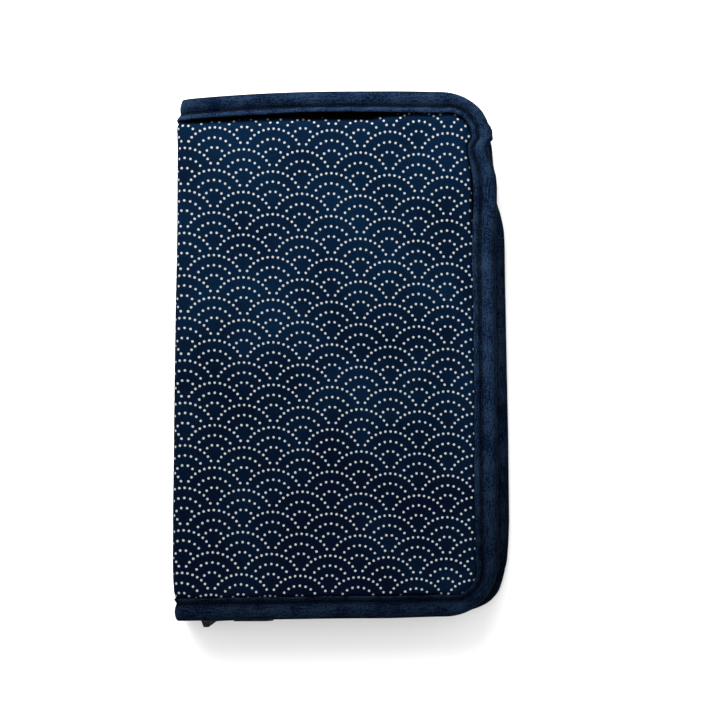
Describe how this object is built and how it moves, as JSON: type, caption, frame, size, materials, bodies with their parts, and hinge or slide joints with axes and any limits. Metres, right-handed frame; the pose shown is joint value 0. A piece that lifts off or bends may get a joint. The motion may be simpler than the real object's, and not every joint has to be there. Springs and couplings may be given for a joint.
{
  "type": "phone wallet case",
  "caption": "Book-style zip-around cloth case for a phone, cards and notes, with quilted covers, bound edges and a folding spine.",
  "frame": {"origin": "on the flat outer face of the rear cover, midway between the spine and the fore edge and midway up the case", "axes": "+X from the spine to the fore edge, +Y up the covers, +Z from the rear cover to the front cover"},
  "size_m": [0.122, 0.194, 0.02],
  "materials": {
    "printed_cloth": "matte woven cotton with an off-white dot print",
    "binding_tape": "matte ribbed tape",
    "lining_cloth": "plain weave",
    "pocket_cloth": "plain weave",
    "batting": "soft felted batting",
    "board": "matte stiffening board",
    "zip_tape": "herringbone woven tape",
    "zip_coil": "satin nylon coil",
    "zip_stops": "satin black",
    "slider_metal": "semi-gloss black",
    "pull_metal": "semi-gloss black"
  },
  "bodies": {
    "rear_side": {"rear_cover": "printed_cloth", "rear_batting": "batting", "rear_board": "board", "rear_lining": "lining_cloth", "rear_binding": "binding_tape", "rear_zip_tape": "zip_tape", "rear_zip_coil": "zip_coil", "rear_zip_stops": "zip_stops", "phone_pocket": "pocket_cloth", "phone_pocket_edge": "binding_tape"},
    "spine": {"spine_cover": "printed_cloth", "spine_stiffener": "board", "spine_lining": "lining_cloth", "spine_binding": "binding_tape"},
    "front_side": {"front_cover": "printed_cloth", "front_batting": "batting", "front_board": "board", "front_lining": "lining_cloth", "front_binding": "binding_tape", "front_zip_tape": "zip_tape", "front_zip_coil": "zip_coil", "front_zip_stops": "zip_stops", "bill_pocket": "pocket_cloth", "bill_pocket_edge": "binding_tape", "card_pocket_1": "pocket_cloth", "card_pocket_2": "pocket_cloth", "card_pocket_3": "pocket_cloth", "card_pocket_4": "pocket_cloth"},
    "slider": {"slider_body": "slider_metal"},
    "pull": {"slider_pull": "pull_metal"}
  },
  "joints": [
    {"name": "spine_fold", "type": "hinge", "parent": "rear_side", "child": "spine", "pos_m": [-0.0589, 0, 0.0021], "axis": [0, -1, 0], "range_deg": [0, 90]},
    {"name": "front_fold", "type": "hinge", "parent": "spine", "child": "front_side", "pos_m": [-0.0589, 0, 0.0179], "axis": [0, -1, 0], "range_deg": [0, 90]},
    {"name": "zip_slide", "type": "slide", "parent": "rear_side", "child": "slider", "axis": [1, 0, 0], "range_m": [0, 0.078]},
    {"name": "pull_swing", "type": "hinge", "parent": "slider", "child": "pull", "pos_m": [-0.0495, -0.09595, 0.01], "axis": [0, 0, -1], "range_deg": [0, 170]}
  ],
  "couplings": [
    {"joint": "spine_fold", "follows": "front_fold", "ratio": 1}
  ]
}
